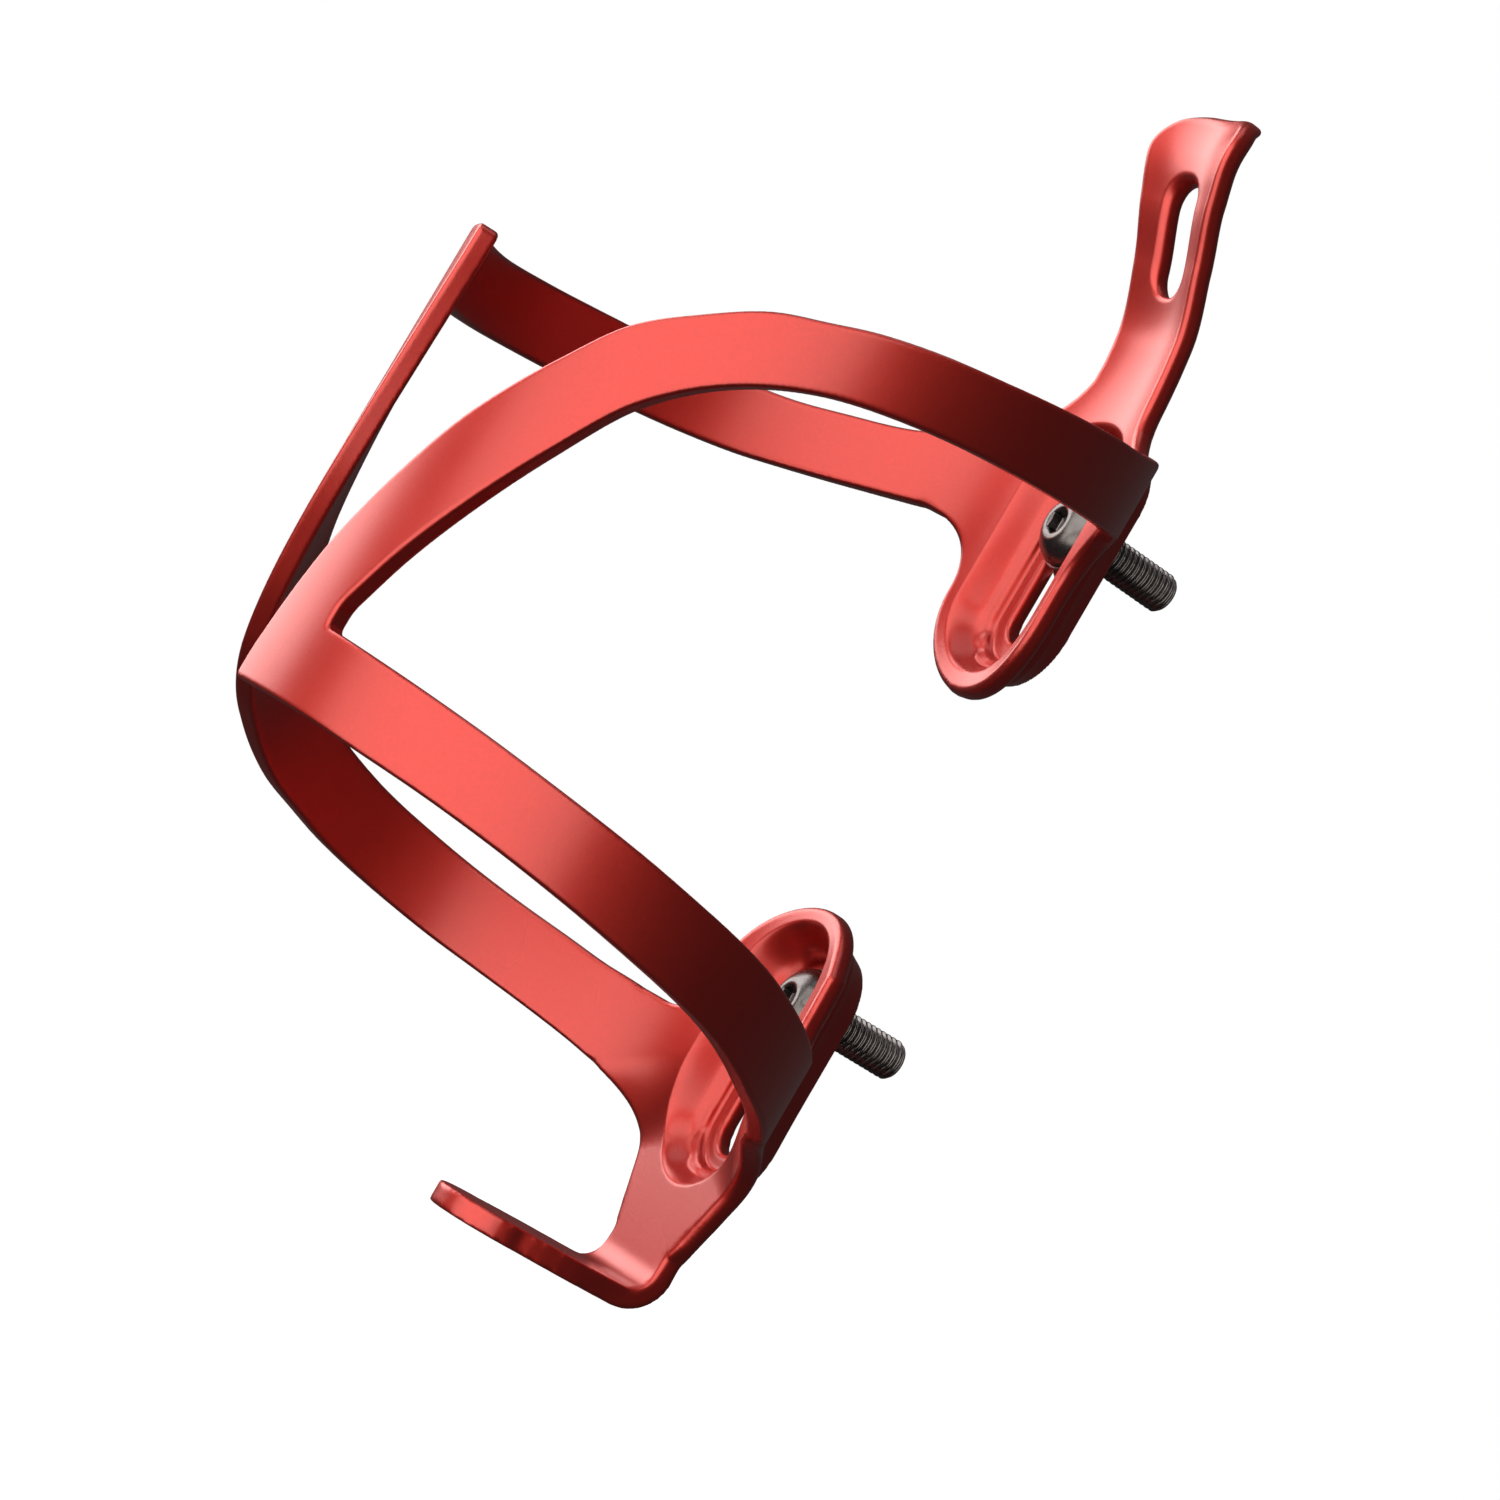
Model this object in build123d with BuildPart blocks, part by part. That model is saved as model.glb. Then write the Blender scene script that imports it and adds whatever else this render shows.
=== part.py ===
"""Bottle cage for a bicycle, with its two bolts, two washers and one spacer.

Axes: +Z up along the bottle, +Y to the rear (towards the bicycle frame), X across,
with +X called right and -X left. The rearmost mounting plane is Y = 0. Heights below
are measured from the underside of the foot; every finished piece is then lowered by
ORIGIN_Z, so that the origin lies midway between the two bolts. Sizes are in mm.
"""
from build123d import *
import math
import os

os.makedirs("parts", exist_ok=True)

# ------------------------------------------------------------------ main sizes
BOLT_PITCH = 64.0          # standard distance between the two frame bosses
BOLT_Z_LOW = 40.4          # lower bolt above the foot underside
BOLT_Z_UP = BOLT_Z_LOW + BOLT_PITCH
ORIGIN_Z = BOLT_Z_LOW + BOLT_PITCH / 2
SHEET_T = 2.6              # thickness of the formed aluminium

BORE_HALF_X = 36.6         # half width of the elliptical bottle space
BORE_HALF_Y = 37.7         # half depth of the bottle space
BACK_Y = -6.4              # bottle's rear tangent line
CENTRE_Y = BACK_Y - BORE_HALF_Y
MID_Z = 67.6               # height from which the wing edges are measured
JOIN_DEG = 32.0            # angle round the bottle where pads hand over to wings

# ------------------------------------------------------------------- sheet form
SECTION_STEP = 2.0         # height between lofted sections
SECTION_HALF_W = 24.0
SECTION_SPANS = 32         # intervals across a section
UP_SHEET_Z = (77.0, 159.0)
LO_SHEET_TOP_Z = 55.5
SLOPE_SAMPLE = 0.25        # offset at which the face slope is sampled
SLOPE_FACTOR_MAX = 1.5     # limit on the slope correction of the thickness
DISH_EXTRA_T = 0.5         # extra sheet thickness behind a dish

DISH_IN_R = 6.2            # floor radius of a dish
DISH_OUT_R = 9.0           # rim radius of a dish
POCKET_R = 5.6             # flat land under the washers
POCKET_CUT = 6.0           # length of the pocket cutter
SEAT_DEPTH = 1.0           # depth of the machined land below the dished floor
SLOT_R = 3.1               # half width of the bolt slots
SLOT_CUT_Y = (-20, 5)

# ------------------------------------------------------------- upper pad and tab
UP_PAD_HALF_W = 11.0
UP_PAD_END_Z = 80.9
UP_PAD_TOP_Z = 104         # pad ends and the tab's lean begins
UP_FLOOR_Y = -2.7          # machined land, facing the bottle
UP_BACK_Y = -0.8           # rear of the dished floor
UP_DISH_Z = (92.3, 108.6)  # ends of the dish centre line
UP_SLOT_Z = (92.6, 104.8)  # slot end centres
UP_ROOT_TOP_RISE = 1.6     # rise of the right root's top edge towards X = 0
UP_ROOT_LOW_RISE = 0.5     # rise of its bottom edge
UP_PAD_FILLET = 7.5        # between pad sides and band roots
UP_ROOT_FILLET = 8.0       # between the right root and the tab

TAB_TOP_Z = 155.2
TAB_CORNER_R = 6.0
TAB_HOLE_HALF_W = 2.95
TAB_HOLE_Z = (133.6, 146.2)
TAB_HOLE_R = 2.6
TAB_CURL = 0.67            # how far the tab is hollowed between its edges
TAB_CURL_HALF = 8.0
TAB_CURL_LIMIT = 1.6
TAB_CURL_START_Z = 112.0
TAB_CURL_BLEND_H = 14.0    # height over which the hollow develops

# Tab front face: (height, Y offset from the bottle wall)
TAB_LEAN = [
    (104, 0.0), (112, 0.0), (119, -0.25), (128, -1.2), (136.5, -4.2), (143.5, -7.2),
    (149.5, -8.7), (153.0, -8.3), (155.2, -7.2), (160.0, -3.5)]
# Tab outline: (height, half width)
TAB_HALF_W = [
    (98, 9.8), (106, 9.2), (112, 8.4), (119, 7.5), (126, 7.0), (134, 7.1), (140, 7.5),
    (147, 8.5), (153, 9.3), (160, 9.8)]
TAB_HEIGHTS = [108, 112, 116, 120, 125, 130, 136, 142, 149, TAB_TOP_Z]
# Left flank from the tab down towards the band root: (x, height)
TAB_LEFT_FLANK = [
    (-6.8, 126.0), (-7.7, 120.6), (-9.3, 117.9), (-11.9, 115.2), (-15.2, 112.8),
    (-18.4, 111.2)]

# ----------------------------------------------------- lower pad, riser and foot
LO_PAD_HALF_W = 12.3
LO_PAD_END_Z = 51.6
LO_PAD_LOW_Z = 26          # bottom of the pad rectangle
LO_FLOOR_Y = -1.9
LO_BACK_Y = 0.0
LO_DISH_Z = (24.2, 40.8)
LO_SLOT_Z = LO_DISH_Z
LO_ROOT_TOP_RISE = 0.8     # rise of the right root's top edge towards X = 0
LO_ROOT_LOW_DROP = 0.4     # drop of the left root's bottom edge towards X = 0
LO_PAD_FILLET = 3.6

RISER_FRONT_Y = -5.6       # flat strip between lower pad and foot
RISER_BLEND_Z = 31.0       # where the wall starts to flatten, at X = 0
RISER_BLEND_BOW = 0.0225   # how fast that height drops with x squared
RISER_BLEND_H = 12.0
BEND_IN_R = 3.0
BEND_TOP_Z = 7.5
RISER_OVERLAP = 4.0        # the lower sheet starts this far below BEND_TOP_Z

FOOT_HALF_W = 7.2
FOOT_TIP_Y = -31.0
FOOT_BLANK_HALF_W = 12
FOOT_TRIM_Z = (-5, 25)     # height range of the foot trimming prism
FOOT_REAR_Y = 4            # rear end of the foot trimming outline
# Foot edge: (width added to FOOT_HALF_W, Y)
FOOT_EDGE = [
    (0.0, FOOT_REAR_Y), (0.0, -5), (0.15, -9), (0.7, -15), (0.4, -20),
    (-0.2, FOOT_TIP_Y + FOOT_HALF_W + 0.8)]
# Riser flanks between bend and band roots: (x, height)
RISER_RIGHT = [
    (FOOT_HALF_W, BEND_TOP_Z), (8.8, 10.2), (10.4, 13.9), (12.4, 18.0), (14.4, 20.6),
    (17.0, 22.6)]
RISER_LEFT = [
    (-16.4, 21.1), (-14.0, 19.3), (-12.2, 17.1), (-10.4, 13.6), (-8.9, 10.1),
    (-FOOT_HALF_W, BEND_TOP_Z)]

# ------------------------------------------------------------------------ wings
# Each wing has a curved and a straight band round a window, joined at the front.
RIGHT, LEFT = 1, -1
BAND_INSET = 0.05          # bands are this much thinner per side than the pads
ROOT_INSET = 0.25          # bands are this much narrower per edge at the root
ROOT_BLEND_DEG = 5.0
ROOT_OVERLAP_DEG = 2.5     # how far a band starts inside its pad
ROOT_X = (BORE_HALF_X + SHEET_T + 0.2) * math.sin(math.radians(JOIN_DEG)) + 0.8
ROOT_OVERLAP = 2           # height by which flank outlines enter the roots

# Band edges: (degrees round the bottle from the back, distance from MID_Z).
# Inner edges border the window. On the right wing the curved band is the upper
# one and the straight band the lower; on the left wing they change places.
RIGHT_CURVED_OUTER = [
    (25, 46.2), (39, 44.2), (50, 43.0), (60, 42.1), (70, 41.0), (80, 39.8), (87, 38.9),
    (98, 37.5), (108, 35.8), (116, 33.9), (123.5, 32.1), (133.5, 28.0), (142.5, 23.6),
    (150, 17.5), (157, 11.4), (162, 6.6), (167, 0.6), (171.5, -5.3), (175.5, -11.5),
    (178.5, -19.0), (180.5, -26.8)]
RIGHT_CURVED_INNER = [
    (25, 36.0), (34, 35.0), (44, 34.2), (55, 33.3), (66, 32.4), (77, 31.5), (87, 30.6),
    (98, 29.3), (108, 27.7), (116, 25.7), (125, 22.3), (135, 16.4), (143.6, 7.8),
    (152, -1.4), (158.5, -9.2), (162.5, -15.0)]
LEFT_CURVED_OUTER = [
    (25, 46.0), (31, 45.3), (39, 44.4), (50, 43.5), (60, 42.8), (70, 42.1), (80, 41.1),
    (90, 39.9), (97.5, 38.8), (106, 37.2), (113, 35.9), (120, 34.0), (127, 31.7),
    (134, 29.2), (142, 25.0), (149, 18.6), (155, 11.0), (160, 3.0), (163.5, -5.0),
    (166, -13.0), (168, -21.0), (169.5, -28.0)]
LEFT_CURVED_INNER = [
    (25, 34.9), (34, 34.3), (40, 34.2), (50, 33.6), (60, 33.0), (70, 32.2), (79.5, 31.2),
    (90, 29.9), (100.8, 28.0), (110, 25.9), (118, 23.2), (126, 19.2), (135, 13.6),
    (143.7, 6.4), (150, -2.0), (155, -9.5), (158, -15.0)]
STRAIGHT_INNER = [
    (25, 33.0), (34, 32.2), (43, 31.0), (52, 29.6), (60, 28.3), (68, 27.0), (78.5, 25.7),
    (88, 24.7), (99.5, 23.5), (115.7, 22.1), (131, 20.9), (148, 19.9), (164, 19.2),
    (180, 18.8)]
RIGHT_STRAIGHT_OUTER = [
    (25, 44.3), (35, 42.9), (45, 41.2), (55, 39.5), (63, 37.8), (70, 36.4), (77, 35.3),
    (93.4, 33.4), (106.5, 32.0), (122, 30.6), (134, 29.8), (145, 29.3), (159, 28.7),
    (170, 28.5), (181, 28.4)]
LEFT_STRAIGHT_OUTER = [
    (25, 44.8), (33, 42.2), (42, 39.9), (53, 38.0), (64, 36.1), (77, 34.6), (90, 33.4),
    (98, 32.8), (105.7, 32.1), (118.7, 30.9), (138, 29.4), (152, 28.9), (170, 28.6)]
# By side: curved outer, curved inner and straight outer edges
WING_EDGES = {
    RIGHT: (RIGHT_CURVED_OUTER, RIGHT_CURVED_INNER, RIGHT_STRAIGHT_OUTER),
    LEFT: (LEFT_CURVED_OUTER, LEFT_CURVED_INNER, LEFT_STRAIGHT_OUTER),
}

BAND_START = JOIN_DEG - ROOT_OVERLAP_DEG
RIGHT_CORNER = 163.5       # angle of the window's front corner
RIGHT_TIP = 180.0
LEFT_CORNER = 158.5
LEFT_TIP = 169.0
# Bands in joining order: side, band, first angle, last angle, number of sections
BANDS = [
    (RIGHT, "curved", BAND_START, RIGHT_CORNER, 44),
    (RIGHT, "straight", BAND_START, RIGHT_CORNER, 16),
    (RIGHT, "front", RIGHT_CORNER, RIGHT_TIP, 9),
    (LEFT, "straight", BAND_START, LEFT_CORNER, 16),
    (LEFT, "curved", BAND_START, LEFT_CORNER, 44),
    (LEFT, "front", LEFT_CORNER, LEFT_TIP, 8),
]

# -------------------------------------------------------------------- fasteners
SHANK_R = 2.5              # M5 bolt
NECK_R = 2.4               # plain neck inside the washer and slot
SHANK_END_Y = 12.0
SHANK_CHAMFER = 0.4
HEAD_R = 4.75              # button head
HEAD_H = 2.75
HEAD_RIM_H = 0.5
HEAD_TOP_R = 2.5
DOME_MID_R = HEAD_R - 0.82 # point midway on the head's dome
DOME_MID_H = 1.80
HEX_AF = 3.0               # socket across flats
HEX_DEPTH = 1.5
WASHER_R = 5.0
WASHER_T = 0.5
WASHER_HOLE_R = 2.56
SPACER_R = 6.0
RING_FILLET = 0.12


# ---------------------------------------------------------------- curve helpers
def curve(table, at):
    """Smooth monotone-cubic value through a table of (position, value)."""
    count = len(table)
    slopes = [(table[i + 1][1] - table[i][1]) / (table[i + 1][0] - table[i][0])
              for i in range(count - 1)]
    inner = [0.0 if before * after <= 0 else 2 * before * after / (before + after)
             for before, after in zip(slopes, slopes[1:])]
    tangents = [slopes[0]] + inner + [slopes[-1]]
    # Straight extension beyond either end
    for end in (0, -1):
        past_end = at <= table[0][0] if end == 0 else at >= table[-1][0]
        if past_end:
            return table[end][1] + tangents[end] * (at - table[end][0])
    i = max(k for k in range(count - 1) if table[k][0] <= at)
    span = table[i + 1][0] - table[i][0]
    t = (at - table[i][0]) / span
    return ((2 * t**3 - 3 * t**2 + 1) * table[i][1]
            + (t**3 - 2 * t**2 + t) * span * tangents[i]
            + (-2 * t**3 + 3 * t**2) * table[i + 1][1]
            + (t**3 - t**2) * span * tangents[i + 1])


def smooth(t):
    """Smooth step from 0 to 1."""
    t = min(1.0, max(0.0, t))
    return t * t * (3 - 2 * t)


def mirrored(points):
    """Points mirrored across X = 0, in reverse order."""
    return [(-x, y) for x, y in reversed(points)]


def nearest_vertex(sketch, x, y):
    """Outline corner closest to a point of the sketch."""
    return min(sketch.vertices(), key=lambda v: math.hypot(v.X - x, v.Y - y))


# ---------------------------------------------------------------- sheet surfaces
def wall_y(x):
    """Rear wall of the bottle space at a sideways offset x."""
    return CENTRE_Y + BORE_HALF_Y * math.sqrt(1 - (x / BORE_HALF_X) ** 2)


def dish(x, z, spine):
    """Dish depth fraction: 1 on the floor, 0 outside the rim."""
    radius = math.hypot(x, z - min(max(z, spine[0]), spine[1]))
    return smooth((DISH_OUT_R - radius) / (DISH_OUT_R - DISH_IN_R))


def upper_front(x, z):
    """Front face of the upper sheet: bottle wall, tab lean, dished floor."""
    base = wall_y(x) + (curve(TAB_LEAN, z) if z > UP_PAD_TOP_Z else 0.0)
    base += (TAB_CURL * (1 - min(TAB_CURL_LIMIT, (x / TAB_CURL_HALF) ** 2))
             * smooth((z - TAB_CURL_START_Z) / TAB_CURL_BLEND_H))
    return base + (UP_FLOOR_Y - SEAT_DEPTH - base) * dish(x, z, UP_DISH_Z)


def lower_front(x, z):
    """Front face of the lower sheet: bottle wall, dished floor, flat riser."""
    flat = smooth((RISER_BLEND_Z - RISER_BLEND_BOW * x * x - z) / RISER_BLEND_H)
    base = wall_y(x) * (1 - flat) + RISER_FRONT_Y * flat
    return base + (LO_FLOOR_Y - SEAT_DEPTH - base) * dish(x, z, LO_DISH_Z)


def back_of(front, x, z):
    """Rear face of a sheet, one thickness behind its front face."""
    e = SLOPE_SAMPLE
    slope_x = (front(x + e, z) - front(x - e, z)) / (2 * e)
    slope_z = (front(x, z + e) - front(x, z - e)) / (2 * e)
    factor = min(SLOPE_FACTOR_MAX, math.sqrt(1 + slope_x * slope_x + slope_z * slope_z))
    land = dish(x, z, UP_DISH_Z if z > MID_Z else LO_DISH_Z)
    return front(x, z) + SHEET_T * factor + DISH_EXTRA_T * land


def sheet(front, z0, z1):
    """Sheet between its front and rear faces, lofted through level sections."""
    spans = int(round((z1 - z0) / SECTION_STEP))
    params = [i / SECTION_SPANS for i in range(SECTION_SPANS + 1)]
    xs = [-SECTION_HALF_W + 2 * SECTION_HALF_W * i / SECTION_SPANS
          for i in range(SECTION_SPANS + 1)]
    with BuildPart() as body:
        for j in range(spans + 1):
            z = z0 + (z1 - z0) * j / spans
            face = [(x, front(x, z)) for x in xs]
            rear = [(x, back_of(front, x, z)) for x in xs[::-1]]
            with BuildSketch(Plane.XY.offset(z)):
                with BuildLine():
                    add(Edge.make_spline([Vector(*p) for p in face], parameters=params))
                    Line(face[-1], rear[0])
                    add(Edge.make_spline([Vector(*p) for p in rear], parameters=params))
                    Line(rear[-1], face[0])
                make_face()
        loft()
    return body.part


# ------------------------------------------------------------------ wing bands
def z_pair(side, name, deg):
    """Lower and upper edge heights of a wing band at an angle."""
    curved_outer, curved_inner, straight_outer = WING_EDGES[side]
    if name == "curved":
        edges = (side * curve(curved_inner, deg), side * curve(curved_outer, deg))
    elif name == "straight":
        edges = (-side * curve(straight_outer, deg), -side * curve(STRAIGHT_INNER, deg))
    else:
        edges = (-side * curve(straight_outer, deg), side * curve(curved_outer, deg))
    return MID_Z + min(edges), MID_Z + max(edges)


def section_plane(side, deg):
    """Plane across a wing at an angle: local x runs outwards, local y up."""
    a = math.radians(deg)
    outward = Vector(side * math.sin(a), math.cos(a), 0)
    origin = Vector(side * BORE_HALF_X * math.sin(a),
                    CENTRE_Y + BORE_HALF_Y * math.cos(a), 0)
    return Plane(origin=origin, x_dir=outward, z_dir=outward.cross(Vector(0, 0, 1)))


def band(side, name, first, last, count):
    """Loft of rectangular sections following one band of a wing. The root is
    a little smaller than the pad edge it runs into."""
    with BuildPart() as body:
        for i in range(count):
            deg = first + (last - first) * i / (count - 1)
            low, high = z_pair(side, name, deg)
            inset = ROOT_INSET * smooth((JOIN_DEG + ROOT_BLEND_DEG - deg) / ROOT_BLEND_DEG)
            with BuildSketch(section_plane(side, deg)):
                with Locations((SHEET_T / 2, (low + high) / 2)):
                    Rectangle(SHEET_T - 2 * BAND_INSET, high - low - 2 * inset)
        loft(ruled=name != "straight")
    return body.part


# ------------------------------------------------------------- trimming shapes
def wedge(z0, z1):
    """Region behind the bottle between the two pad-to-wing planes."""
    reach = 24
    a = math.radians(JOIN_DEG)
    x, y = BORE_HALF_X * math.sin(a), CENTRE_Y + BORE_HALF_Y * math.cos(a)
    outer = (x + reach * math.sin(a), y + reach * math.cos(a))
    inner = (x - reach * math.sin(a), y - reach * math.cos(a))
    with BuildPart() as body:
        with BuildSketch(Plane.XY.offset(z0)):
            with BuildLine():
                Polyline(inner, outer, *mirrored([inner, outer]), close=True)
            make_face()
        extrude(amount=z1 - z0)
    return body.part


def round_prism(half_w, z_ends, y0, y1):
    """Upright round-ended prism running from Y = y0 to Y = y1."""
    with BuildPart() as body:
        with BuildSketch(Plane.XZ.offset(-y0)):
            with Locations((0, sum(z_ends) / 2)):
                SlotCenterToCenter(z_ends[1] - z_ends[0], 2 * half_w, rotation=90)
        extrude(amount=-(y1 - y0))
    return body.part


def upper_prism():
    """Upper sheet outline: tab, pad with a round free end, two band roots."""
    right_low, right_top = z_pair(RIGHT, "curved", JOIN_DEG)
    left_low, left_top = z_pair(LEFT, "straight", JOIN_DEG)
    tab_right = [(curve(TAB_HALF_W, z), z) for z in TAB_HEIGHTS]
    tab_left = mirrored(tab_right)
    round_z = UP_PAD_END_Z + UP_PAD_HALF_W
    roots = [
        [(0, right_low + UP_ROOT_LOW_RISE), (ROOT_X, right_low), (ROOT_X, right_top),
         (0, right_top + UP_ROOT_TOP_RISE)],
        [(0, left_low), (-ROOT_X, left_low), (-ROOT_X, left_top), (0, left_top)],
    ]
    # Rounded corners: approximate x, height, radius
    corners = [
        (UP_PAD_HALF_W, right_low, UP_PAD_FILLET),
        (-UP_PAD_HALF_W, left_low, UP_PAD_FILLET),
        (8.2, right_top + 1.0, UP_ROOT_FILLET),
        (*tab_right[-1], TAB_CORNER_R),
        (*tab_left[0], TAB_CORNER_R),
    ]
    with BuildPart() as prism:
        with BuildSketch(Plane.XZ.offset(40)) as outline:
            with BuildLine():
                Spline(tab_right)
                Line(tab_right[-1], tab_left[0])
                Spline(tab_left)
                Line(tab_left[-1], tab_right[0])
            make_face()
            with Locations((0, (round_z + UP_PAD_TOP_Z) / 2)):
                Rectangle(2 * UP_PAD_HALF_W, UP_PAD_TOP_Z - round_z)
            with Locations((0, round_z)):
                Circle(UP_PAD_HALF_W)
            for root in roots:
                with BuildLine():
                    Polyline(*root, close=True)
                make_face()
            with BuildLine():
                Spline(TAB_LEFT_FLANK + [(-ROOT_X, left_top)])
                Polyline((-ROOT_X, left_top), (-ROOT_X, left_top - ROOT_OVERLAP),
                         (0, left_top - ROOT_OVERLAP), (0, TAB_LEFT_FLANK[0][1]),
                         TAB_LEFT_FLANK[0])
            make_face()
            for x, z, radius in corners:
                fillet(nearest_vertex(outline, x, z), radius)
        extrude(amount=80, both=True)
    return prism.part


def lower_prism():
    """Lower sheet outline: pad with a round free end, two band roots, riser strip."""
    right_low, right_top = z_pair(RIGHT, "straight", JOIN_DEG)
    left_low, left_top = z_pair(LEFT, "curved", JOIN_DEG)
    round_z = LO_PAD_END_Z - LO_PAD_HALF_W
    roots = [
        [(0, right_low), (ROOT_X, right_low), (ROOT_X, right_top),
         (0, right_top + LO_ROOT_TOP_RISE)],
        [(0, left_low - LO_ROOT_LOW_DROP), (-ROOT_X, left_low), (-ROOT_X, left_top),
         (0, left_top)],
    ]
    with BuildPart() as prism:
        with BuildSketch(Plane.XZ.offset(40)) as outline:
            with Locations((0, (round_z + LO_PAD_LOW_Z) / 2)):
                Rectangle(2 * LO_PAD_HALF_W, round_z - LO_PAD_LOW_Z)
            with Locations((0, round_z)):
                Circle(LO_PAD_HALF_W)
            for root in roots:
                with BuildLine():
                    Polyline(*root, close=True)
                make_face()
            with BuildLine():
                Spline(RISER_RIGHT + [(ROOT_X, right_low)])
                Polyline((ROOT_X, right_low), (ROOT_X, right_low + ROOT_OVERLAP),
                         (-ROOT_X, left_low + ROOT_OVERLAP), (-ROOT_X, left_low))
                Spline([(-ROOT_X, left_low)] + RISER_LEFT)
                Line(RISER_LEFT[-1], RISER_RIGHT[0])
            make_face()
            fillet(nearest_vertex(outline, LO_PAD_HALF_W, right_top), LO_PAD_FILLET)
            fillet(nearest_vertex(outline, -LO_PAD_HALF_W, left_top), LO_PAD_FILLET)
        extrude(amount=80, both=True)
    return prism.part


# ------------------------------------------------------------------- cage body
def trimmed_sheet(blank, prism, wedge_z, floor_y, back_y, dish_z, slot_z, back_mid_z):
    """Sheet cut to its outline, with washer land, flat rear and bolt slot."""
    with BuildPart() as body:
        add(blank)
        add(prism, mode=Mode.INTERSECT)
        add(wedge(*wedge_z), mode=Mode.INTERSECT)
        add(round_prism(POCKET_R, dish_z, floor_y - POCKET_CUT, floor_y),
            mode=Mode.SUBTRACT)
        # Flatten everything behind the mounting face
        with BuildSketch(Plane.XZ.offset(-back_y)):
            with Locations((0, back_mid_z)):
                Rectangle(80, 120)
        extrude(amount=-10, mode=Mode.SUBTRACT)
        add(round_prism(SLOT_R, slot_z, *SLOT_CUT_Y), mode=Mode.SUBTRACT)
    return body.part


def upper_back():
    """Upper pad and tab, with the hole through the tab."""
    with BuildPart() as body:
        add(trimmed_sheet(sheet(upper_front, *UP_SHEET_Z), upper_prism(), (60, 170),
                          UP_FLOOR_Y, UP_BACK_Y, UP_DISH_Z, UP_SLOT_Z, back_mid_z=110))
        with BuildSketch(Plane.XZ.offset(40)):
            with Locations((0, sum(TAB_HOLE_Z) / 2)):
                RectangleRounded(2 * TAB_HOLE_HALF_W, TAB_HOLE_Z[1] - TAB_HOLE_Z[0],
                                 TAB_HOLE_R)
        extrude(amount=80, both=True, mode=Mode.SUBTRACT)
    return body.part


def lower_back():
    """Lower pad and riser."""
    blank = sheet(lower_front, BEND_TOP_Z - RISER_OVERLAP, LO_SHEET_TOP_Z)
    return trimmed_sheet(blank, lower_prism(), (0, 100), LO_FLOOR_Y, LO_BACK_Y,
                         LO_DISH_Z, LO_SLOT_Z, back_mid_z=40)


def foot():
    """Bend below the riser and the foot reaching forwards under the bottle."""
    riser_back = RISER_FRONT_Y + SHEET_T
    bend_y = RISER_FRONT_Y - BEND_IN_R
    bend_z = SHEET_T + BEND_IN_R
    blank_tip_y = FOOT_TIP_Y - 1
    right_edge = [(FOOT_HALF_W + extra, y) for extra, y in FOOT_EDGE]
    left_edge = mirrored(right_edge)
    with BuildPart() as body:
        with BuildSketch(Plane.YZ.offset(-FOOT_BLANK_HALF_W)):
            with BuildLine():
                front = Polyline((RISER_FRONT_Y, BEND_TOP_Z), (RISER_FRONT_Y, bend_z))
                inner_bend = RadiusArc(front @ 1, (bend_y, SHEET_T), BEND_IN_R)
                sole = Polyline(inner_bend @ 1, (blank_tip_y, SHEET_T), (blank_tip_y, 0),
                                (bend_y, 0))
                outer_bend = RadiusArc(sole @ 1, (riser_back, bend_z),
                                       -(BEND_IN_R + SHEET_T))
                Polyline(outer_bend @ 1, (riser_back, BEND_TOP_Z), front @ 0)
            make_face()
        extrude(amount=2 * FOOT_BLANK_HALF_W)
        with BuildSketch(Plane.XY.offset(FOOT_TRIM_Z[0])):
            with BuildLine():
                Spline(right_edge)
                ThreePointArc(right_edge[-1], (0, FOOT_TIP_Y), left_edge[0])
                Spline(left_edge)
                Line(left_edge[-1], right_edge[0])
            make_face()
        extrude(amount=FOOT_TRIM_Z[1] - FOOT_TRIM_Z[0], mode=Mode.INTERSECT)
    return body.part


def cage_body():
    """The whole cage: both pads, foot and wings joined."""
    pieces = [upper_back(), lower_back(), foot()] + [band(*row) for row in BANDS]
    with BuildPart() as body:
        for piece in pieces:
            add(piece)
    return body.part


# ------------------------------------------------------------------- fasteners
def y_plane(y, z, direction):
    """Plane across the bolt axis, facing +Y (1) or -Y (-1)."""
    return Plane(origin=(0, y, z), x_dir=(1, 0, 0), z_dir=(0, direction, 0))


def bolt(z, seat_y):
    """Button head socket bolt, head towards the bottle, thread beyond Y = 0."""
    top_y = seat_y - HEAD_H
    with BuildPart() as body:
        with BuildSketch(Plane.XY.offset(z)):
            with BuildLine():
                Polyline((0, seat_y), (HEAD_R, seat_y), (HEAD_R, seat_y - HEAD_RIM_H))
                ThreePointArc((HEAD_R, seat_y - HEAD_RIM_H),
                              (DOME_MID_R, seat_y - DOME_MID_H), (HEAD_TOP_R, top_y))
                Polyline((HEAD_TOP_R, top_y), (0, top_y), (0, seat_y))
            make_face()
        revolve(axis=Axis((0, 0, z), (0, 1, 0)))
        with BuildSketch(y_plane(top_y, z, -1)):
            RegularPolygon(HEX_AF / 2, 6, major_radius=False)
        extrude(amount=-HEX_DEPTH, mode=Mode.SUBTRACT)
        for radius, start_y in ((NECK_R, seat_y), (SHANK_R, 0)):
            with Locations(y_plane(start_y, z, 1)):
                Cylinder(radius, SHANK_END_Y - start_y,
                         align=(Align.CENTER, Align.CENTER, Align.MIN))
        tip = body.edges().filter_by(GeomType.CIRCLE).sort_by(Axis.Y)[-1]
        chamfer(tip, SHANK_CHAMFER)
    return body.part


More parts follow.
